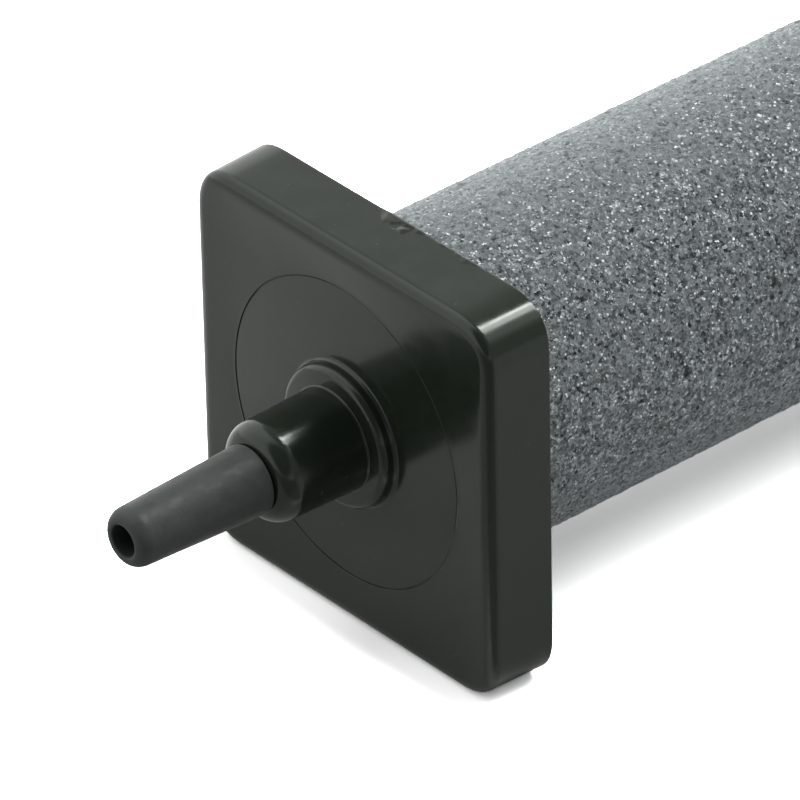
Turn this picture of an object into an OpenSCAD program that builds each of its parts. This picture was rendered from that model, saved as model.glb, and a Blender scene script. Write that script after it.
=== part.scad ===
// Cylindrical mineral air stone with two square end caps and a hose nipple.
// Millimetres. The stone's axis runs along Y, the nipple points to -Y, and the caps stand on Z = 0.
// The origin is the centre of the footprint, nipple included.

/* [Stone] */
// Diameter of the porous mineral stone
stone_d = 25.4; // [20:0.1:30]
// Length of the stone, with the ends that sit inside the caps
stone_l = 101.6; // [50:0.1:160]
// Diameter of the blind air channel along the stone
channel_d = 7; // [5:0.5:9]
// Solid stone left behind the blind end of the channel
channel_end = 12; // [8:1:20]

/* [End caps] */
// Cap side beyond the stone's diameter, both sides together
cap_margin = 6.5; // [5:0.05:10]
// Thickness of each cap
cap_t = 5.45; // [4.5:0.05:8]
// Radius of the four corners of a cap
corner_r = 3.6; // [2:0.1:4]
// Rounding of the outer face's edge
edge_r = 0.7; // [0.3:0.05:1.2]
// Depth of the socket that takes the stone
socket_depth = 3; // [2:0.1:3.5]
// Diameter of the fine ring-shaped groove on each cap's outer face
groove_d = 24.2; // [18:0.1:26]

/* [Hose inlet] */
// Diameter of the low collar at the foot of the boss
collar_d = 11.2; // [9:0.1:14]
// Height of that collar
collar_h = 1.25; // [0.8:0.05:2]
// Diameter of the boss that holds the nipple
boss_d = 7.8; // [6.6:0.1:8.5]
// Height of the boss above the cap's outer face
boss_h = 8.8; // [8:0.1:12]
// Rounding of the boss's free end
shoulder_r = 1.6; // [0.8:0.1:1.7]
// Nipple diameter where it leaves the boss
nipple_root_d = 5.4; // [4.8:0.1:6]
// Nipple diameter at its free end
nipple_tip_d = 4.6; // [4:0.1:4.7]
// Distance from the cap's outer face to the nipple's tip
nipple_reach = 20.6; // [16:0.1:26]
// Diameter of the shank pressed into the boss
shank_d = 4.4; // [4:0.1:4.4]
// Length of that shank
shank_l = 6.6; // [5:0.1:7]
// Diameter of the air passage through the nipple and the front cap
bore_d = 2.4; // [1.5:0.1:2.6]

/* [Adhesive] */
// Thickness of the adhesive between the stone and its socket
glue_t = 0.25; // [0.1:0.05:0.4]
// Height of the squeezed-out bead above the stone
bead_h = 0.45; // [0.35:0.05:0.6]
// Length of the bead along the stone
bead_l = 1.1; // [0.8:0.1:2]

/* [Hidden] */
$fn = 96;

cap_side = stone_d + cap_margin;
axis_z = cap_side / 2;
corner_span = cap_side - 2 * corner_r;
floor_t = cap_t - socket_depth;        // plastic left at the bottom of a socket
socket_d = stone_d + 2 * glue_t;
stone_start = floor_t + glue_t;        // from the front cap's outer face to the stone's end
caps_l = stone_l + 2 * stone_start;    // from outer face to outer face
face_y = nipple_reach - (nipple_reach + caps_l) / 2;

groove_w = 0.16;
groove_depth = 0.12;
collar_edge_r = 0.85 * collar_h;
collar_foot_r = 0.25;
nipple_tip_r = 0.75;
bore_lip = 0.2;
glue_window_d = channel_d + 3;         // the end of the channel stays clear of adhesive
bead_edge_r = 0.3;
eps = 0.01;

// Places children drawn along +Z on the stone's axis, s from the front cap's outer face
module on_axis(s = 0) {
    translate([0, face_y + s, axis_z]) rotate([-90, 0, 0]) children();
}

// The same from the rear cap's outer face, looking the other way
module on_rear_axis() {
    on_axis(caps_l) mirror([0, 0, 1]) children();
}

// Half section of a slab: radius r, thickness t, its corner at height 0 rounded by e
module slab_half(r, t, e) {
    square([r - e, t]);
    translate([0, e]) square([r, t - e]);
    translate([r - e, e]) circle(e);
}

// Square cap with round corners and a rounded edge round its outer face at Z = 0
module cap_plate() {
    for (turn = [0, 90])
        rotate([90, 0, turn])
            translate([0, 0, -corner_span / 2])
                linear_extrude(corner_span)
                    for (side = [0, 1])
                        mirror([side, 0]) slab_half(cap_side / 2, cap_t, edge_r);
    for (x = [-1, 1], y = [-1, 1])
        translate([x, y, 0] * corner_span / 2)
            rotate_extrude() slab_half(corner_r, cap_t, edge_r);
}

// Fine groove left round the mould insert
module ring_groove() {
    translate([0, 0, -eps])
        rotate_extrude()
            translate([(groove_d - groove_w) / 2, 0]) square([groove_w, groove_depth + eps]);
}

// Round socket for the end of the stone, open at the cap's inner face
module socket() {
    translate([0, 0, floor_t]) cylinder(d = socket_d, h = socket_depth + eps);
}

module blank_cap() {
    difference() {
        cap_plate();
        socket();
        ring_groove();
    }
}

// Low collar with a rounded edge and a concave foot, standing from Z = 0 to -Z
module collar() {
    foot_d = collar_d + 2 * collar_foot_r;
    rotate_extrude() {
        translate([0, -collar_h]) slab_half(collar_d / 2, collar_h + eps, collar_edge_r);
        difference() {
            translate([0, -collar_foot_r]) square([foot_d / 2, collar_foot_r + eps]);
            translate([foot_d / 2, -collar_foot_r]) circle(collar_foot_r);
        }
    }
}

// Round boss with a domed free end, standing from Z = 0 to -Z
module boss() {
    rotate_extrude()
        translate([0, -boss_h]) slab_half(boss_d / 2, boss_h + eps, shoulder_r);
}

module front_cap() {
    color([0.13, 0.14, 0.13]) on_axis() difference() {
        union() {
            blank_cap();
            collar();
            boss();
        }
        translate([0, 0, -boss_h - eps]) cylinder(d = shank_d, h = shank_l + eps);
        translate([0, 0, -boss_h]) cylinder(d = bore_d, h = boss_h + cap_t);
    }
}

module rear_cap() {
    color([0.13, 0.14, 0.13]) on_rear_axis() blank_cap();
}

// Tapered nipple with a rounded tip and a straight shank inside the boss
module hose_nipple() {
    taper_l = nipple_reach - boss_h - nipple_tip_r;
    tip_face_d = nipple_tip_d - 2 * nipple_tip_r;
    color([0.13, 0.14, 0.15]) on_axis(-nipple_reach) difference() {
        union() {
            rotate_extrude() {
                square([tip_face_d / 2, nipple_tip_r]);
                intersection() {
                    translate([tip_face_d / 2, nipple_tip_r]) circle(nipple_tip_r);
                    square([nipple_tip_d / 2, nipple_tip_r]);
                }
            }
            translate([0, 0, nipple_tip_r])
                cylinder(d1 = nipple_tip_d, d2 = nipple_root_d, h = taper_l);
            translate([0, 0, nipple_tip_r + taper_l]) cylinder(d = shank_d, h = shank_l);
        }
        translate([0, 0, -eps])
            cylinder(d = bore_d, h = nipple_reach - boss_h + shank_l + 2 * eps);
        translate([0, 0, -eps]) cylinder(d1 = bore_d + 2 * bore_lip, d2 = bore_d, h = bore_lip + eps);
    }
}

module stone_body() {
    color([0.45, 0.47, 0.49]) on_axis(stone_start) difference() {
        cylinder(d = stone_d, h = stone_l);
        translate([0, 0, -eps]) cylinder(d = channel_d, h = stone_l - channel_end + eps);
    }
}

// Adhesive: a layer under the stone's end, a sleeve round it and a bead outside the socket
module glue() {
    color([0.10, 0.10, 0.09]) difference() {
        union() {
            translate([0, 0, floor_t]) cylinder(d = socket_d, h = socket_depth);
            translate([0, 0, cap_t + bead_l])
                mirror([0, 0, 1])
                    rotate_extrude() slab_half(stone_d / 2 + bead_h, bead_l, bead_edge_r);
        }
        translate([0, 0, stone_start]) cylinder(d = stone_d, h = socket_depth + bead_l);
        cylinder(d = glue_window_d, h = cap_t);
    }
}

module front_glue() {
    on_axis() glue();
}

module rear_glue() {
    on_rear_axis() glue();
}

front_cap();
hose_nipple();
stone_body();
rear_cap();
front_glue();
rear_glue();
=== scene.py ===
"""Looks of a cylindrical mineral air stone with two square end caps and a hose nipple.

Lengths are in millimetres until a mesh is made, which turns them into metres. The stone's axis runs
along Y, the nipple points to -Y and the caps stand on Z = 0, as in the CAD frame.
"""

import math

import bmesh
import bpy
import numpy as np
from mathutils import Matrix, Vector, noise


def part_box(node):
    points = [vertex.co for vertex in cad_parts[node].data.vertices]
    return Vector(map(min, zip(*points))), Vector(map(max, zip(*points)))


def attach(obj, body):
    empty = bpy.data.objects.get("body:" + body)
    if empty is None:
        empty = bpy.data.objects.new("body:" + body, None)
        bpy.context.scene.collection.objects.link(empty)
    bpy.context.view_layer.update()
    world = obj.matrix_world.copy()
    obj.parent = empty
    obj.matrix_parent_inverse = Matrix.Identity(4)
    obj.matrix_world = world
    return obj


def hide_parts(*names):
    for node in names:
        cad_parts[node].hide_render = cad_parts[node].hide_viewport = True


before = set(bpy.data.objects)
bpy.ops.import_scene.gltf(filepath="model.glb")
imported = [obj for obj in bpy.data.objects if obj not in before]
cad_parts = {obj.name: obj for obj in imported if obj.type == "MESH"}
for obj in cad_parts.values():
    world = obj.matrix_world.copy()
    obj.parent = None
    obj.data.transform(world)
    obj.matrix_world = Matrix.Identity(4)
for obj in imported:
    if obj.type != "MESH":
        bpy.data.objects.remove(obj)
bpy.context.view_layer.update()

MM = 0.001


# ---------------------------------------------------------------- dimensions from the frame

def box_mm(node):
    """Lowest and highest corner of a CAD node, in millimetres."""
    low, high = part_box(node)
    return low / MM, high / MM


cap_low, cap_high = box_mm("front_cap")
rear_low, rear_high = box_mm("rear_cap")
nipple_low, nipple_high = box_mm("hose_nipple")
stone_low, stone_high = box_mm("stone_body")

CAP_HALF = (cap_high.x - cap_low.x) / 2
AXIS_Z = (stone_low.z + stone_high.z) / 2
STONE_R = (stone_high.x - stone_low.x) / 2
CAP_T = rear_high.y - rear_low.y
FACE_Y = cap_high.y - CAP_T            # outer face of the front cap
REAR_FACE_Y = rear_high.y              # outer face of the rear cap
BOSS_H = FACE_Y - cap_low.y
NIPPLE_REACH = FACE_Y - nipple_low.y
SHANK_END = FACE_Y - nipple_high.y     # distance from the face to the inner end of the shank

# ---------------------------------------------------------------- dimensions of the design

CORNER_R = 3.9
CORNER_POWER = 2.4                     # over 2: the corner starts more softly than a circle's arc
EDGE_ON_FACE = 1.0                     # rounding of the outer face's edge, measured across the face
EDGE_ON_SIDE = 0.65                    # and measured down the side
BACK_EDGE_R = 0.08
DRAFT = 0.03                           # slope of the sides: the cap widens towards the stone
SIDE_BULGE = 0.19                      # the sides stand out and the top is low by this much
TOP_DROP = 0.07
FOOT_GAP = 0.03
SOCKET_R = STONE_R + 0.25
SOCKET_DEPTH = 3.0
SHANK_CLEARANCE = 0.1                  # between the end of the shank and its seat
GROOVE_R = 12.1
COLLAR_R = 5.6
COLLAR_H = 1.25
COLLAR_EDGE_R = 0.6
COLLAR_FOOT_R = 0.35
BOSS_R = 3.9
BOSS_FOOT_R = 4.05
BOSS_FILLET_R = 0.15                   # fillet between the boss and the collar
BOSS_FOOT_H = 0.25                     # height over the collar where the boss has its foot's radius
SHOULDER_R = 1.6
BORE_R = 1.2
SHANK_R = 2.2
NIPPLE_ROOT_R = 2.7
NIPPLE_TIP_R = 2.3
ROOT_ROUNDING = 0.12                   # rounding of the nipple's end at the boss
TIP_ROUNDING = 0.85                    # rounding of the nipple's free end across it
TIP_ROUNDING_L = 1.2                   # and along it
# The bore's rounded lip: how much wider than the bore, and how deep in it
BORE_LIP = ((0.2, 0.01), (0.1, 0.05), (0.03, 0.12), (0.0, 0.2))
CHANNEL_R = 3.5
CHANNEL_END = 12.0                     # solid stone behind the blind end of its channel
STONE_CHAMFER = 0.3
BEAD_H = 0.45
BEAD_L = 1.1
BEAD_SINK = 0.12                       # the adhesive reaches this far into the stone's pores


# ---------------------------------------------------------------- rings and lofts

EDGE_STEPS = 24                        # points along each straight side of a square ring
CORNER_STEPS = 16                      # points round each of its corners


def square_outline(half, corner):
    """Points (x, z) of a square with round corners, anticlockwise from the foot of the +X side."""
    straight = half - corner
    points = []
    for quarter in range(4):
        turn = quarter * math.pi / 2
        c, s = math.cos(turn), math.sin(turn)
        side = [(half, -straight + 2 * straight * i / EDGE_STEPS) for i in range(EDGE_STEPS)]
        for i in range(CORNER_STEPS):
            a = math.pi / 2 * i / CORNER_STEPS
            x, z = math.cos(a) ** (2 / CORNER_POWER), math.sin(a) ** (2 / CORNER_POWER)
            side.append((straight + corner * x, straight + corner * z))
        points += [(c * x - s * z, s * x + c * z) for x, z in side]
    return np.array(points)


def directions(outline):
    """Unit vectors from the centre to each point of an outline."""
    return outline / np.linalg.norm(outline, axis=1)[:, None]


CAP_DIRECTIONS = directions(square_outline(CAP_HALF, CORNER_R))


def even_directions(count):
    """Unit vectors (x, z) evenly round the circle."""
    turns = np.arange(count) * 2 * math.pi / count
    return np.stack([np.cos(turns), np.sin(turns)], axis=1)


def at(outline, y):
    """A ring: an outline round the stone's axis, placed at y, as rows (x, y, z)."""
    y = np.broadcast_to(y, len(outline))
    return np.stack([outline[:, 0], y, outline[:, 1] + AXIS_Z], axis=1)


def arc(start, end, steps):
    """Angles in radians from start to end, in degrees, both ends included."""
    return [math.radians(start + (end - start) * i / steps) for i in range(steps + 1)]


def loft(name, rings, closed=False, caps=False):
    """A mesh object through rings with the same number of points. Closed joins the last to the first."""
    count = len(rings[0])
    vertices = np.concatenate(rings) * MM
    faces = []
    pairs = len(rings) if closed else len(rings) - 1
    for k in range(pairs):
        a, b = k * count, (k + 1) % len(rings) * count
        for i in range(count):
            j = (i + 1) % count
            faces.append((a + i, a + j, b + j, b + i))
    if caps:
        last = (len(rings) - 1) * count
        faces.append(tuple(range(count)))
        faces.append(tuple(range(last, last + count)))
    return solid(name, vertices, faces)


def solid(name, vertices, faces, sharp=35):
    """A mesh object in metres with outward faces, smooth up to the sharp angle in degrees."""
    mesh = bpy.data.meshes.new(name)
    mesh.from_pydata([tuple(v) for v in vertices], [], faces)
    work = bmesh.new()
    work.from_mesh(mesh)
    bmesh.ops.recalc_face_normals(work, faces=work.faces)
    work.to_mesh(mesh)
    work.free()
    mesh.shade_smooth()
    mesh.set_sharp_from_angle(angle=math.radians(sharp))
    piece = bpy.data.objects.new(name, mesh)
    bpy.context.scene.collection.objects.link(piece)
    return piece


# ---------------------------------------------------------------- plastic caps

GROOVE_W = 0.16
GROOVE_DEPTH = 0.12
DISC_SINK = 0.1                        # the face inside the ring groove lies this deep,
RIM_RISE = 0.24                        # and outside it rises this much towards its rim
LAND_STEPS = 10
GROOVE_LAND = 0.15                     # the plain face starts this far from the groove's middle
GROOVE_CLOSED_AT = 20                  # degrees from +X where the groove is nearly closed
# Section of the groove: across, in half widths, and down, in depths
GROOVE_SECTION = ((-1.0, 0.0), (-0.45, 0.9), (0.0, 1.0), (0.45, 0.9), (1.0, 0.0))
COLLAR_LAND = 0.06                     # the plain face starts this far outside the collar's foot
BACK_LAND = 0.15                       # width of the first ring on the back face
REAR_CENTRE_R = 0.4                    # radius of the patches that close the rear cap's rings


def cap_outline(depth, inset=0.0):
    """The cap's sides at a depth below the outer face: drafted, but level at the foot."""
    narrow = DRAFT * (CAP_T - depth)
    outline = square_outline(CAP_HALF, CORNER_R - inset)
    top = CAP_HALF - TOP_DROP - narrow - inset
    foot = -CAP_HALF + FOOT_GAP + inset
    outline[:, 0] *= (CAP_HALF + SIDE_BULGE - narrow - inset) / CAP_HALF
    outline[:, 1] = foot + (outline[:, 1] + CAP_HALF) * (top - foot) / (2 * CAP_HALF)
    return outline


def ring_groove_rings(out, y):
    """The witness line of the mould insert: a fine groove, nearly closed on one side."""
    turn = np.arctan2(CAP_DIRECTIONS[:, 1], CAP_DIRECTIONS[:, 0])
    openness = 0.62 - 0.38 * np.cos(turn - math.radians(GROOVE_CLOSED_AT))
    uneven = np.array([noise.noise(Vector((3 * x, 3 * z, 4.0))) for x, z in CAP_DIRECTIONS])
    openness = np.clip(openness + 0.35 * uneven, 0.12, 1.0)
    rings = []
    for across, deep in GROOVE_SECTION:
        radius = GROOVE_R + across * GROOVE_W / 2 * (0.5 + openness / 2)
        depth = deep * GROOVE_DEPTH * openness
        rings.append(at(CAP_DIRECTIONS * radius[:, None], y + out * -depth))
    return rings


def cap_face_rings(out, y, inner_r):
    """The outer face from inner_r to its rim, with the groove. out is -1 where the face looks to -Y."""
    rim = cap_outline(0.0, EDGE_ON_FACE)
    start = CAP_DIRECTIONS * (GROOVE_R + GROOVE_LAND)
    disc = y - out * DISC_SINK
    radii = np.linspace(inner_r, GROOVE_R - GROOVE_LAND, LAND_STEPS)
    rings = [at(CAP_DIRECTIONS * radius, disc) for radius in radii]
    rings += ring_groove_rings(out, disc)
    for t in np.linspace(0, 1, LAND_STEPS + 1):
        rings.append(at(start * (1 - t) + rim * t, disc + out * RIM_RISE * t))
    return rings


def cap_side_rings(out, y):
    """From the face's rim round the front edge, down the side and round the back edge."""
    rings = []
    rise = RIM_RISE - DISC_SINK
    for a in arc(6, 90, 12):
        depth = (EDGE_ON_SIDE + rise) * (1 - math.cos(a)) - rise
        inset = EDGE_ON_FACE * (1 - math.sin(a))
        rings.append(at(cap_outline(max(depth, 0.0), inset), y - out * depth))
    for depth in (EDGE_ON_SIDE + 0.1, CAP_T / 2, CAP_T - 0.2):
        rings.append(at(cap_outline(depth), y - out * depth))
    for a in arc(0, 90, 4):
        depth = CAP_T - BACK_EDGE_R * (1 - math.sin(a))
        rings.append(at(cap_outline(depth, BACK_EDGE_R * (1 - math.cos(a))), y - out * depth))
    return rings


def cap_socket_rings(out, y, hole_r):
    """The back face, the round socket and its floor as far as a central hole."""
    back = y - out * CAP_T
    floor = back + out * SOCKET_DEPTH
    near_rim = cap_outline(CAP_T, BACK_EDGE_R + BACK_LAND)
    return [
        at(near_rim, back),
        at(0.5 * near_rim + 0.5 * CAP_DIRECTIONS * SOCKET_R, back),
        at(CAP_DIRECTIONS * SOCKET_R, back),
        at(CAP_DIRECTIONS * SOCKET_R, floor),
        at(CAP_DIRECTIONS * hole_r, floor),
    ]


def inlet_rings():
    """From the air hole out through the shank's seat, over the boss and down to the collar's foot."""
    def ring(radius, height):
        return at(CAP_DIRECTIONS * radius, FACE_Y + DISC_SINK - height)

    shoulder = BOSS_H - SHOULDER_R
    foot = COLLAR_H + BOSS_FOOT_H
    seat = SHANK_END - SHANK_CLEARANCE
    rings = [ring(BORE_R, seat), ring(SHANK_R, seat), ring(SHANK_R, BOSS_H)]
    for a in arc(90, 0, 12):
        rings.append(ring(BOSS_R - SHOULDER_R * (1 - math.cos(a)), shoulder + SHOULDER_R * math.sin(a)))
    for t in (0.02, 0.5, 1.0):
        rings.append(ring(BOSS_R + (BOSS_FOOT_R - BOSS_R) * t, shoulder + (foot - shoulder) * t))
    for a in arc(10, 90, 5):
        radius = BOSS_FOOT_R + BOSS_FILLET_R * (1 - math.cos(a))
        rings.append(ring(radius, COLLAR_H + BOSS_FILLET_R * (1 - math.sin(a))))
    for a in arc(86, 0, 12):
        radius = COLLAR_R - COLLAR_EDGE_R * (1 - math.cos(a))
        rings.append(ring(radius, COLLAR_H - COLLAR_EDGE_R * (1 - math.sin(a))))
    for a in arc(0, 90, 7):
        radius = COLLAR_R + COLLAR_FOOT_R * (1 - math.cos(a))
        rings.append(ring(radius, COLLAR_FOOT_R * (1 - math.sin(a))))
    return rings


def front_cap():
    rings = inlet_rings()
    rings += cap_face_rings(-1, FACE_Y, COLLAR_R + COLLAR_FOOT_R + COLLAR_LAND)
    rings += cap_side_rings(-1, FACE_Y)
    rings += cap_socket_rings(-1, FACE_Y, BORE_R)
    return loft("front_cap_shell", rings, closed=True)


def rear_cap():
    rings = cap_face_rings(1, REAR_FACE_Y, REAR_CENTRE_R)
    rings += cap_side_rings(1, REAR_FACE_Y)
    rings += cap_socket_rings(1, REAR_FACE_Y, REAR_CENTRE_R)
    return loft("rear_cap_shell", rings, caps=True)


# ---------------------------------------------------------------- hose nipple

NIPPLE_AROUND = 128
TAPER_STEPS = 12


def hose_nipple():
    outline = even_directions(NIPPLE_AROUND)

    def ring(radius, height):
        return at(outline * radius, FACE_Y - height)

    taper_start = BOSS_H + ROOT_ROUNDING
    taper_end = NIPPLE_REACH - TIP_ROUNDING_L
    rings = [ring(BORE_R, SHANK_END), ring(SHANK_R, SHANK_END)]
    rings += [ring(SHANK_R, BOSS_H), ring(NIPPLE_ROOT_R - ROOT_ROUNDING, BOSS_H)]
    for a in arc(90, 0, 4):
        radius = NIPPLE_ROOT_R - ROOT_ROUNDING * (1 - math.cos(a))
        rings.append(ring(radius, BOSS_H + ROOT_ROUNDING * (1 - math.sin(a))))
    for step in range(1, TAPER_STEPS + 1):
        t = step / TAPER_STEPS
        radius = NIPPLE_ROOT_R * (1 - t) + NIPPLE_TIP_R * t
        rings.append(ring(radius, taper_start + (taper_end - taper_start) * t))
    for a in arc(5, 90, 12):
        radius = NIPPLE_TIP_R - TIP_ROUNDING * (1 - math.cos(a))
        rings.append(ring(radius, taper_end + TIP_ROUNDING_L * math.sin(a)))
    rings += [ring(BORE_R + wider, NIPPLE_REACH - depth) for wider, depth in BORE_LIP]
    return loft("hose_nipple_tube", rings, closed=True)


# ---------------------------------------------------------------- porous stone

STONE_AROUND = 400
STONE_ALONG = 468
GRAIN = 0.34                           # size of the surface grains
GRAIN_RELIEF = 0.1
PIT_DEPTH = 0.16
RELIEF_IN_SOCKET = 0.5                 # the relief begins this far inside the sockets


def grain_relief(point):
    """Height of the rough surface over the true cylinder at a point, in millimetres.

    Each grain is a Voronoi cell with a height of its own, lower at its border. Swells and a few pits
    are added.
    """
    distances, centres = noise.voronoi(point / GRAIN)
    edge = (distances[1] - distances[0]) / max(distances[0] + distances[1], 1e-6)
    high = noise.noise(centres[0] * 7.3)
    grain = GRAIN_RELIEF * (0.8 * high + 0.5 * min(edge * 2.5, 1.0) - 0.25)
    coarse = 0.03 * noise.noise(point * 0.9) + 0.02 * noise.noise(point * 0.25)
    pit = noise.noise(point * 1.7 + Vector((31.0, 0.0, 0.0)))
    return grain + coarse - PIT_DEPTH * max(pit - 0.42, 0.0) / 0.3


def stone():
    outline = even_directions(STONE_AROUND)
    start, end = stone_low.y, stone_high.y
    inside = SOCKET_DEPTH - RELIEF_IN_SOCKET

    def ring(radius, y):
        return at(outline * radius, y)

    rings = [ring(CHANNEL_R, end - CHANNEL_END), ring(CHANNEL_R, start)]
    rings += [ring(STONE_R - STONE_CHAMFER, start), ring(STONE_R, start + STONE_CHAMFER)]
    for y in np.linspace(start + inside, end - inside, STONE_ALONG):
        relief = [grain_relief(Vector((STONE_R * x, y, STONE_R * z))) for x, z in outline]
        rings.append(ring(STONE_R + np.array(relief)[:, None], y))
    rings += [ring(STONE_R, end - STONE_CHAMFER), ring(STONE_R - STONE_CHAMFER, end)]
    return loft("stone_core", rings, caps=True)


# ---------------------------------------------------------------- adhesive

BEAD_AROUND = 240
CREEP = 2.4                            # one drop crept this far along the stone
CREEP_AT = 0.13                        # at this angle from +X, in radians,
CREEP_WIDTH = 0.05                     # and this wide
SOCKET_GAP = 0.02                      # between the adhesive and the floor of the socket


def glue_bead(name, back, away, seed):
    """Squeezed-out adhesive round the stone where it enters a socket. away is the way from the cap."""
    outline = even_directions(BEAD_AROUND)
    wave = np.array([noise.noise(Vector((2.2 * x, 2.2 * z, seed))) for x, z in outline])
    ripple = np.array([noise.noise(Vector((9 * x, 9 * z, seed + 5))) for x, z in outline])
    length = BEAD_L * np.clip(0.85 + 0.45 * wave + 0.25 * ripple, 0.35, 1.6)
    turn = np.arctan2(outline[:, 1], outline[:, 0])
    length = length + CREEP * np.exp(-((turn - CREEP_AT) / CREEP_WIDTH) ** 2)
    height = BEAD_H * np.clip(0.8 + 0.4 * wave - 0.2 * ripple, 0.4, 1.15)
    inner = STONE_R - BEAD_SINK
    floor = SOCKET_GAP - SOCKET_DEPTH

    def ring(radius, along):
        radius = np.broadcast_to(radius, BEAD_AROUND)
        return at(outline * radius[:, None], back + away * along)

    rings = [ring(SOCKET_R, floor), ring(inner, floor), ring(inner, length)]
    for a in arc(0, 90, 8):
        rings.append(ring(inner + (height + BEAD_SINK) * math.sin(a), length * math.cos(a) ** 0.8))
    rings.append(ring(SOCKET_R, 0.0))
    return loft(name, rings, closed=True)


SMEAR_START, SMEAR_END = -4.5, 11.8    # along the cap's top back edge
SMEAR_FRONT, SMEAR_BACK = -1.3, 1.7    # across that edge: on the cap's top, and down its back
SMEAR_BEND = 0.2                       # the smear turns over the edge within this distance
SMEAR_H = 0.075
SMEAR_SINK = 0.015                     # its bare parts lie this far inside the cap,
SMEAR_INSIDE = 0.16                    # and its inner layer this far
SMEAR_COLUMNS = 180
SMEAR_ROWS = 36


def smear_thickness(x, s):
    """Thickness of the smear at x and at a distance s past the edge, down the back of the cap."""
    blot = math.exp(-((x - 0.8) / 2.2) ** 2)
    strip = 0.35 * math.exp(-((x - 7.0) / 3.5) ** 2)
    patchy = noise.noise(Vector((0.7 * x, 1.1 * s, 2.0)))
    patchy += 0.3 * noise.noise(Vector((1.8 * x, 2.2 * s, 6.0)))
    near_end = min(x - SMEAR_START, SMEAR_END - x, 1.0)
    cover = ((blot + strip) * (0.9 + 0.8 * patchy) - 0.5 * abs(s + 0.15)) / 0.7
    cover = min(max(cover, 0.0), 1.0)
    return SMEAR_H * cover * cover * (3 - 2 * cover) * near_end


def glue_smear():
    """Adhesive smeared over the top back edge of the front cap, thin and patchy."""
    back = cap_high.y
    top = AXIS_Z + CAP_HALF - TOP_DROP
    points = []
    for layer in (0, 1):
        for s in np.linspace(SMEAR_FRONT, SMEAR_BACK, SMEAR_ROWS):
            tilt = math.pi / 2 * float(np.clip(s / SMEAR_BEND + 0.5, 0, 1))
            y = back + min(s, 0.0)
            z = top - max(s, 0.0) + DRAFT * min(s, 0.0)
            for x in np.linspace(SMEAR_START, SMEAR_END, SMEAR_COLUMNS):
                lift = -SMEAR_INSIDE if layer else smear_thickness(x, s) - SMEAR_SINK
                points.append((x, y + lift * math.sin(tilt), z + lift * math.cos(tilt)))
    faces = []
    other = SMEAR_ROWS * SMEAR_COLUMNS
    for row in range(SMEAR_ROWS - 1):
        for column in range(SMEAR_COLUMNS - 1):
            a = row * SMEAR_COLUMNS + column
            quad = (a, a + 1, a + 1 + SMEAR_COLUMNS, a + SMEAR_COLUMNS)
            faces.append(quad)
            faces.append(tuple(other + i for i in reversed(quad)))
    border = list(range(SMEAR_COLUMNS))
    border += [row * SMEAR_COLUMNS + SMEAR_COLUMNS - 1 for row in range(1, SMEAR_ROWS)]
    border += [(SMEAR_ROWS - 1) * SMEAR_COLUMNS + column for column in range(SMEAR_COLUMNS - 2, -1, -1)]
    border += [row * SMEAR_COLUMNS for row in range(SMEAR_ROWS - 2, 0, -1)]
    for a, b in zip(border, border[1:] + border[:1]):
        faces.append((b, a, other + a, other + b))
    return solid("front_glue_smear", np.array(points) * MM, faces, sharp=80)


# ---------------------------------------------------------------- material helpers

def add(tree, kind, inputs, **settings):
    """Adds a node. An input is a socket to link, or a value to set."""
    made = tree.nodes.new(kind)
    for key, value in settings.items():
        setattr(made, key, value)
    for key, value in inputs.items():
        if isinstance(value, bpy.types.NodeSocket):
            tree.links.new(value, made.inputs[key])
        else:
            made.inputs[key].default_value = value
    return made


def calc(tree, operation, *values):
    """The result of a Math node."""
    return add(tree, "ShaderNodeMath", dict(enumerate(values)), operation=operation).outputs[0]


def product(tree, *factors):
    """All factors multiplied, one after the other."""
    result = factors[0]
    for factor in factors[1:]:
        result = calc(tree, "MULTIPLY", result, factor)
    return result


def vector_calc(tree, operation, *values):
    """The result of a Vector Math node: its number for a dot product, else its vector."""
    made = add(tree, "ShaderNodeVectorMath", {}, operation=operation)
    for key, value in enumerate(values):
        slot = made.inputs["Scale"] if operation == "SCALE" and key == 1 else made.inputs[key]
        if isinstance(value, bpy.types.NodeSocket):
            tree.links.new(value, slot)
        else:
            slot.default_value = value
    return made.outputs["Value" if operation == "DOT_PRODUCT" else "Vector"]


def spread(tree, value, low, high, out_low=0.0, out_high=1.0, smooth=True):
    """A value mapped from low..high to out_low..out_high, held at both ends."""
    inputs = {"Value": value, "From Min": low, "From Max": high, "To Min": out_low, "To Max": out_high}
    kind = "SMOOTHSTEP" if smooth else "LINEAR"
    return add(tree, "ShaderNodeMapRange", inputs, interpolation_type=kind).outputs["Result"]


def ramp(tree, factor, stops):
    """A colour ramp. Each stop is a place and a colour."""
    made = add(tree, "ShaderNodeValToRGB", {"Fac": factor})
    points = made.color_ramp.elements
    while len(points) < len(stops):
        points.new(0.5)
    for point, (place, colour) in zip(points, stops):
        point.position = place
        point.color = (*colour, 1.0)
    return made.outputs["Color"]


def blend(tree, factor, start, end):
    """A colour between start, where the factor is 0, and end, where it is 1."""
    inputs = {"Factor": factor, "A": start, "B": end}
    return add(tree, "ShaderNodeMix", inputs, data_type="RGBA").outputs["Result"]


def roughen(tree, shader, height, strength, distance):
    """Bump on a shader, with a height of distance metres."""
    bump = add(tree, "ShaderNodeBump", {"Height": height, "Strength": strength, "Distance": distance})
    tree.links.new(bump.outputs["Normal"], shader.inputs["Normal"])


def camera_sees(tree, seen, real, surface):
    """Links a shader that only the camera sees, and the real one for all other rays, to a surface input."""
    camera_ray = tree.nodes.new("ShaderNodeLightPath").outputs["Is Camera Ray"]
    mixed = add(tree, "ShaderNodeMixShader", {0: camera_ray, 1: real.outputs[0], 2: seen.outputs[0]})
    tree.links.new(mixed.outputs[0], surface)


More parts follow.
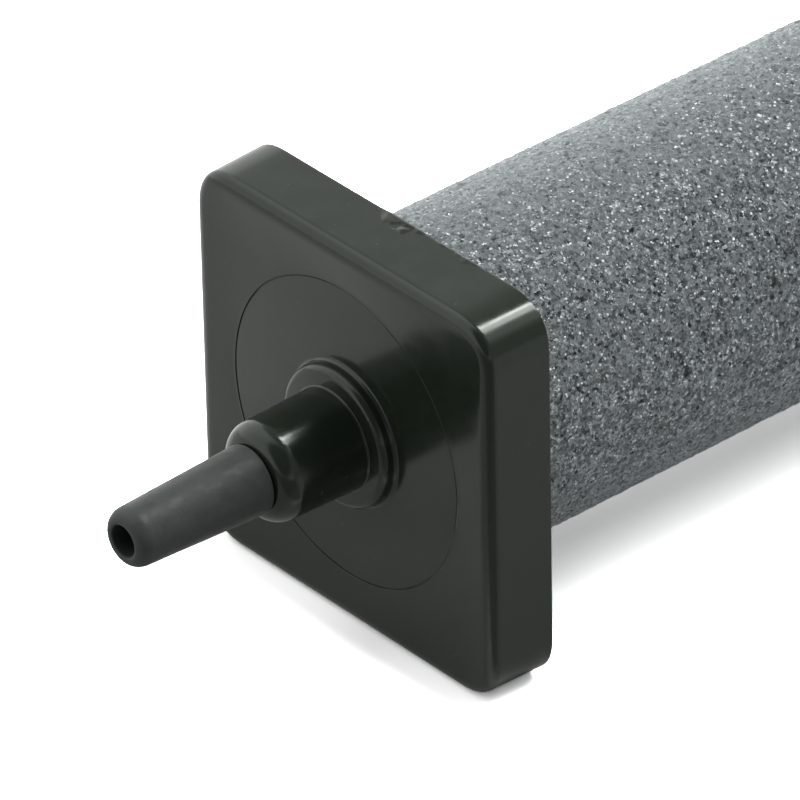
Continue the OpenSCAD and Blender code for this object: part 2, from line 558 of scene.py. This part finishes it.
def new_material(name):
    """A material, its node tree and its Principled shader."""
    material = bpy.data.materials.new(name)
    material.use_nodes = True
    tree = material.node_tree
    return material, tree, tree.nodes["Principled BSDF"]


def millimetres(tree):
    """The place on the object, in millimetres."""
    place = tree.nodes.new("ShaderNodeTexCoord").outputs["Object"]
    return vector_calc(tree, "SCALE", place, 1 / MM)


def noise_at(tree, place, scale, detail=2.0):
    """A smooth random value from 0 to 1, with scale features per millimetre."""
    inputs = {"Vector": place, "Scale": scale, "Detail": detail}
    return add(tree, "ShaderNodeTexNoise", inputs).outputs["Fac"]


# ---------------------------------------------------------------- materials

def gloss_plastic():
    """Polished black moulded plastic with a green cast, faint waviness and a few specks of dust."""
    material, tree, shader = new_material("gloss_black_plastic")
    place = millimetres(tree)
    cloud = noise_at(tree, place, 0.35)
    colour = ramp(tree, cloud, [(0.3, (0.0135, 0.0190, 0.0130)), (0.7, (0.0155, 0.0215, 0.0150))])
    dust_cells = add(tree, "ShaderNodeTexVoronoi", {"Vector": place, "Scale": 0.55})
    dust = spread(tree, dust_cells.outputs["Distance"], 0.035, 0.06, 1.0, 0.0)
    colour = blend(tree, dust, colour, (0.05, 0.053, 0.048, 1))
    tree.links.new(colour, shader.inputs["Base Color"])
    smears = noise_at(tree, place, 0.8, 4.0)
    tree.links.new(spread(tree, smears, 0.35, 0.75, 0.145, 0.2), shader.inputs["Roughness"])
    shader.inputs["IOR"].default_value = 1.5
    shader.inputs["Specular Tint"].default_value = (0.93, 1.0, 0.93, 1)
    waves = noise_at(tree, place, 0.22, 1.0)
    roughen(tree, shader, waves, 0.35, 0.00004)
    return material


def satin_plastic():
    """Matt dark grey plastic of the nipple, with a fine moulded grain, and painted shade in its bore:
    darker and less shiny there.
    """
    material, tree, shader = new_material("satin_black_plastic")
    place = millimetres(tree)
    cloud = noise_at(tree, place, 0.8, 3.0)
    colour = ramp(tree, cloud, [(0.3, (0.055, 0.062, 0.058)), (0.7, (0.068, 0.077, 0.072))])
    parts = add(tree, "ShaderNodeSeparateXYZ", {"Vector": place})
    height = calc(tree, "SUBTRACT", parts.outputs["Z"], AXIS_Z)
    radius_squared = calc(tree, "ADD", calc(tree, "POWER", parts.outputs["X"], 2.0),
                          calc(tree, "POWER", height, 2.0))
    # Painted shade in the bore: within it the colour is darker
    outside_painted_bore_shade = spread(tree, radius_squared, BORE_R ** 2 + 0.01, BORE_R ** 2 + 0.35)
    colour = blend(tree, outside_painted_bore_shade, (0.030, 0.035, 0.035, 1), colour)
    tree.links.new(colour, shader.inputs["Base Color"])
    tree.links.new(spread(tree, cloud, 0.35, 0.65, 0.38, 0.58), shader.inputs["Roughness"])
    # Painted shade in the bore: a lower specular level within it
    tree.links.new(spread(tree, outside_painted_bore_shade, 0.0, 1.0, 0.04, 0.18), shader.inputs["Specular IOR Level"])
    roughen(tree, shader, noise_at(tree, place, 3.2, 3.0), 0.5, 0.00005)
    return material


def mineral():
    """Fused mineral grains: grey, each with its own tone and tilt, some bright; the darkest, near black,
    are painted shade standing for pores.
    """
    material, tree, shader = new_material("porous_mineral")
    place = millimetres(tree)
    grains = add(tree, "ShaderNodeTexVoronoi", {"Vector": place, "Scale": 3.6})
    small = add(tree, "ShaderNodeTexVoronoi", {"Vector": place, "Scale": 7.0})
    crystals = add(tree, "ShaderNodeTexVoronoi", {"Vector": place, "Scale": 1.5})
    parts = add(tree, "ShaderNodeSeparateColor", {"Color": grains.outputs["Color"]})
    fine_parts = add(tree, "ShaderNodeSeparateColor", {"Color": small.outputs["Color"]})
    tone = calc(tree, "ADD", calc(tree, "MULTIPLY", parts.outputs["Red"], 0.55),
                calc(tree, "MULTIPLY", fine_parts.outputs["Red"], 0.45))
    # A random tone per grain; its darkest stops are painted shade standing in for pores
    colour = ramp(tree, tone, [
        (0.10, (0.0060, 0.0069, 0.0070)), (0.28, (0.0285, 0.0331, 0.0335)),
        (0.50, (0.0635, 0.0737, 0.0743)), (0.70, (0.103, 0.119, 0.120)),
        (0.84, (0.24, 0.27, 0.273)), (0.94, (0.66, 0.73, 0.74)),
    ])
    crystal = spread(tree, crystals.outputs["Distance"], 0.13, 0.17, 1.0, 0.0)
    colour = blend(tree, crystal, colour, (0.8, 0.84, 0.86, 1))
    tree.links.new(colour, shader.inputs["Base Color"])
    tree.links.new(spread(tree, parts.outputs["Green"], 0.0, 1.0, 0.15, 0.65), shader.inputs["Roughness"])
    shader.inputs["Specular IOR Level"].default_value = 0.9
    shader.inputs["Specular Tint"].default_value = (0.92, 0.99, 1.0, 1)
    shader.inputs["Sheen Tint"].default_value = (0.88, 0.96, 1.0, 1)
    sheen = spread(tree, fine_parts.outputs["Green"], 0.0, 1.0, 0.45, 1.0, smooth=False)
    tree.links.new(sheen, shader.inputs["Sheen Weight"])
    tilt = vector_calc(tree, "SUBTRACT", grains.outputs["Color"], (0.5, 0.5, 0.5))
    fine_tilt = vector_calc(tree, "SUBTRACT", small.outputs["Color"], (0.5, 0.5, 0.5))
    tilt = vector_calc(tree, "ADD", tilt, vector_calc(tree, "SCALE", fine_tilt, 0.55))
    surface = tree.nodes.new("ShaderNodeNewGeometry").outputs["Normal"]
    facet = vector_calc(tree, "NORMALIZE", vector_calc(tree, "ADD", surface, tilt))
    tree.links.new(facet, shader.inputs["Normal"])
    return material


def adhesive():
    """Dark glossy adhesive."""
    material, tree, shader = new_material("dark_adhesive")
    place = millimetres(tree)
    cloud = noise_at(tree, place, 1.6, 3.0)
    colour = ramp(tree, cloud, [(0.3, (0.010, 0.015, 0.010)), (0.7, (0.018, 0.024, 0.017))])
    tree.links.new(colour, shader.inputs["Base Color"])
    tree.links.new(spread(tree, cloud, 0.3, 0.7, 0.14, 0.24), shader.inputs["Roughness"])
    roughen(tree, shader, cloud, 0.4, 0.00004)
    return material


# Painted light and shade on the floor, which the caps mirror and are lit by: lighter on the left and
# behind, darker far in front and to the right. From a place to a place, in millimetres along X or Y, the
# factor goes from one value to another and is held outside them
PAINTED_LIGHT_ON_LEFT = (-45.0, -12.0, 0.97, 0.63)
PAINTED_SHADE_FAR_FRONT = (-74.0, -54.0, 0.66, 0.97)
PAINTED_SHADE_TO_RIGHT = (-15.0, 15.0, 1.0, 0.82)
# Areas of the floor with painted light (behind on the left) and painted shade (in front on the right) of
# their own:
# where each fades in along X and along Y, and its factor
PAINTED_LIGHT_BEHIND_LEFT = ((-12.0, -18.0), (-44.0, -36.0), 1.3)
PAINTED_SHADE_FRONT_RIGHT = ((16.0, 21.0), (-43.0, -47.0), 0.55)
# A painted pool of light in front of the cap: its near and far edges along Y, its rise along X and its
# right edge
LIGHT_POOL_NEAR, LIGHT_POOL_FAR = (-62.0, -50.0), (-38.0, -44.0)
LIGHT_POOL_RISE, LIGHT_POOL_RIGHT = (-20.0, 4.0, 0.0, 0.40), (20.0, 15.0)
# How bright the camera sees the floor, over 1, so that the contact shadows soon turn white: painted light
# that grows away from the cap's front and from under the stone, so only the shadows close to them stay
SEEN_BEFORE_CAP = (-47.0, -44.5, 4.2, 2.3)
SEEN_TO_RIGHT = (2.0, 9.0, 1.0, 1.19)
SEEN_BESIDE_STONE = (2.5, 7.0, 2.85, 4.2)
BESIDE_FROM = (-43.5, -41.0)           # along Y, from before the cap to beside the stone


def painted_floor_area(tree, x, y, area):
    """The factor of an area of painted light, over 1, and of painted shade, under 1; 1 outside it."""
    along_x, along_y, factor = area
    mask = product(tree, spread(tree, x, *along_x), spread(tree, y, *along_y))
    return spread(tree, mask, 0.0, 1.0, 1.0, factor)


def white_floor():
    """White studio floor with painted light and shade by place, which the caps mirror and are lit by. The
    camera sees it overexposed, with more painted light away from the cap and the stone.
    """
    material = bpy.data.materials.new("white_floor")
    material.use_nodes = True
    tree = material.node_tree
    tree.nodes.remove(tree.nodes["Principled BSDF"])
    parts = add(tree, "ShaderNodeSeparateXYZ", {"Vector": millimetres(tree)})
    x, y = parts.outputs["X"], parts.outputs["Y"]

    # Painted light and shade by place, for all rays but the camera's
    tone = product(tree, spread(tree, x, *PAINTED_LIGHT_ON_LEFT), spread(tree, y, *PAINTED_SHADE_FAR_FRONT),
                   spread(tree, x, *PAINTED_SHADE_TO_RIGHT), painted_floor_area(tree, x, y, PAINTED_LIGHT_BEHIND_LEFT),
                   painted_floor_area(tree, x, y, PAINTED_SHADE_FRONT_RIGHT))
    # A painted pool of light in front of the cap
    painted_light_pool = product(tree, spread(tree, y, *LIGHT_POOL_NEAR), spread(tree, y, *LIGHT_POOL_FAR),
                   spread(tree, x, *LIGHT_POOL_RISE), spread(tree, x, *LIGHT_POOL_RIGHT))
    real = add(tree, "ShaderNodeBsdfDiffuse", {"Color": calc(tree, "ADD", tone, painted_light_pool)})

    # For the camera: painted light, stronger away from the cap's front and from under the stone
    before = product(tree, spread(tree, y, *SEEN_BEFORE_CAP), spread(tree, x, *SEEN_TO_RIGHT))
    beside = spread(tree, x, *SEEN_BESIDE_STONE)
    bright = add(tree, "ShaderNodeMix", {"Factor": spread(tree, y, *BESIDE_FROM), "A": before, "B": beside})
    seen = add(tree, "ShaderNodeBsdfDiffuse", {"Color": bright.outputs["Result"]})
    camera_sees(tree, seen, real, tree.nodes["Material Output"].inputs["Surface"])
    return material


# ---------------------------------------------------------------- studio

FLOOR_HALF = 4.0                       # metres


def studio_floor():
    corners = [(-FLOOR_HALF, -FLOOR_HALF, 0), (FLOOR_HALF, -FLOOR_HALF, 0),
               (FLOOR_HALF, FLOOR_HALF, 0), (-FLOOR_HALF, FLOOR_HALF, 0)]
    mesh = bpy.data.meshes.new("studio_floor")
    mesh.from_pydata(corners, [], [(0, 1, 2, 3)])
    floor = bpy.data.objects.new("studio_floor", mesh)
    bpy.context.scene.collection.objects.link(floor)
    floor.data.materials.append(white_floor())


def softbox(tree, way, towards, half_width, half_height, edge):
    """A rectangle of light far away in the direction towards, as a mask over directions."""
    centre = Vector(towards).normalized()
    right = Vector((0, 0, 1)).cross(centre).normalized()
    up = centre.cross(right)
    ahead = vector_calc(tree, "DOT_PRODUCT", way, tuple(centre))
    ahead_safe = calc(tree, "MAXIMUM", ahead, 0.01)
    mask = spread(tree, ahead, 0.0, 0.1)
    for axis, half in ((right, half_width), (up, half_height)):
        slope = calc(tree, "DIVIDE", vector_calc(tree, "DOT_PRODUCT", way, tuple(axis)), ahead_safe)
        slope = calc(tree, "ABSOLUTE", slope)
        inside = spread(tree, slope, half - edge, half + edge, 1.0, 0.0)
        mask = calc(tree, "MULTIPLY", mask, inside)
    return mask


# Round dark patches of the studio: direction, cosines where each starts and is full, factor inside
PATCHES = (
    ((-0.12, 0.54, 0.83), 0.74, 0.86, 0.32),      # ceiling round the main light
    ((0.50, -0.62, 0.60), 0.72, 0.88, 0.15),      # on the camera's side
)
# Softboxes: direction, half width, half height and soft edge as slopes, strength
LAMPS = (
    ((0.055, 0.542, 0.838), 0.05, 0.27, 0.02, 18.0),
    ((0.21, 0.542, 0.814), 0.12, 0.27, 0.03, 9.0),
    ((0.45, 0.542, 0.71), 0.2, 0.25, 0.15, 1.1),
)
BACKDROP = 1.5                         # what the camera sees behind the object


def studio_light():
    """A white studio: bright on the left, dimmer on the right, with softboxes behind the object."""
    world = bpy.data.worlds.new("studio")
    bpy.context.scene.world = world
    world.use_nodes = True
    tree = world.node_tree
    way = tree.nodes.new("ShaderNodeTexCoord").outputs["Generated"]
    parts = add(tree, "ShaderNodeSeparateXYZ", {"Vector": way})
    on_left = spread(tree, parts.outputs["X"], 0.45, -0.45)
    right = spread(tree, parts.outputs["Y"], 0.1, -0.5, 0.36, 0.9)
    left = product(tree, spread(tree, parts.outputs["Z"], -0.1, 0.6, 1.5, 1.52),
                   spread(tree, parts.outputs["Y"], -0.7, -0.2, 0.8, 1.0))
    level = add(tree, "ShaderNodeMix", {"Factor": on_left, "A": right, "B": left}).outputs["Result"]
    for towards, from_cosine, to_cosine, factor in PATCHES:
        cosine = vector_calc(tree, "DOT_PRODUCT", way, tuple(Vector(towards).normalized()))
        level = product(tree, level, spread(tree, cosine, from_cosine, to_cosine, 1.0, factor))
    for towards, half_width, half_height, edge, strength in LAMPS:
        mask = softbox(tree, way, towards, half_width, half_height, edge)
        level = calc(tree, "ADD", level, product(tree, mask, strength))
    background = tree.nodes["Background"]
    tree.links.new(level, background.inputs["Strength"])
    background.inputs["Color"].default_value = (1, 1, 1, 1)
    seen = add(tree, "ShaderNodeBackground", {"Color": (1, 1, 1, 1), "Strength": BACKDROP})
    camera_sees(tree, seen, background, tree.nodes["World Output"].inputs["Surface"])


# ---------------------------------------------------------------- camera

# A long lens from far away. Degrees and millimetres, the shifts in parts of the picture's width
CAMERA_AZIMUTH = 49.61
CAMERA_ELEVATION = 33.19
CAMERA_ROLL = -1.175
CAMERA_DISTANCE = 711.2
CAMERA_LENS = 453.06
AIM = Vector((7.03, FACE_Y, AXIS_Z + 6.13))
SHIFT_X = -0.00913
SHIFT_Y = 0.00094


def photo_camera():
    """The camera, looking at AIM from in front, from the right and from above."""
    azimuth, elevation = math.radians(CAMERA_AZIMUTH), math.radians(CAMERA_ELEVATION)
    back = Vector((math.sin(azimuth) * math.cos(elevation),
                   -math.cos(azimuth) * math.cos(elevation), math.sin(elevation)))
    right = (-back).cross(Vector((0, 0, 1))).normalized()
    up = right.cross(-back)
    roll = math.radians(CAMERA_ROLL)
    rolled_right = right * math.cos(roll) + up * math.sin(roll)
    rolled_up = up * math.cos(roll) - right * math.sin(roll)
    data = bpy.data.cameras.new("camera")
    data.lens = CAMERA_LENS
    data.sensor_width = 36.0
    data.shift_x, data.shift_y = SHIFT_X, SHIFT_Y
    data.clip_start, data.clip_end = 0.05, 30.0
    camera = bpy.data.objects.new("camera", data)
    rotation = Matrix((rolled_right, rolled_up, back)).transposed()
    camera.matrix_world = Matrix.LocRotScale((AIM + back * CAMERA_DISTANCE) * MM, rotation, None)
    bpy.context.scene.collection.objects.link(camera)
    bpy.context.scene.camera = camera


# ---------------------------------------------------------------- assembly

def place_piece(piece, node, material):
    """Gives a piece its material, hangs it under the root body and hides the CAD node that it takes the
    place of.
    """
    piece.data.materials.append(material)
    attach(piece, "root")
    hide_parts(node)


photo_camera()
studio_floor()
studio_light()

black = gloss_plastic()
glue = adhesive()
place_piece(front_cap(), "front_cap", black)
place_piece(rear_cap(), "rear_cap", black)
place_piece(hose_nipple(), "hose_nipple", satin_plastic())
place_piece(stone(), "stone_body", mineral())
place_piece(glue_bead("front_glue_bead", cap_high.y, 1, 3.0), "front_glue", glue)
place_piece(glue_smear(), "front_glue", glue)
place_piece(glue_bead("rear_glue_bead", rear_low.y, -1, 8.0), "rear_glue", glue)

bpy.context.scene.view_settings.view_transform = "Standard"
bpy.context.scene.view_settings.look = "None"
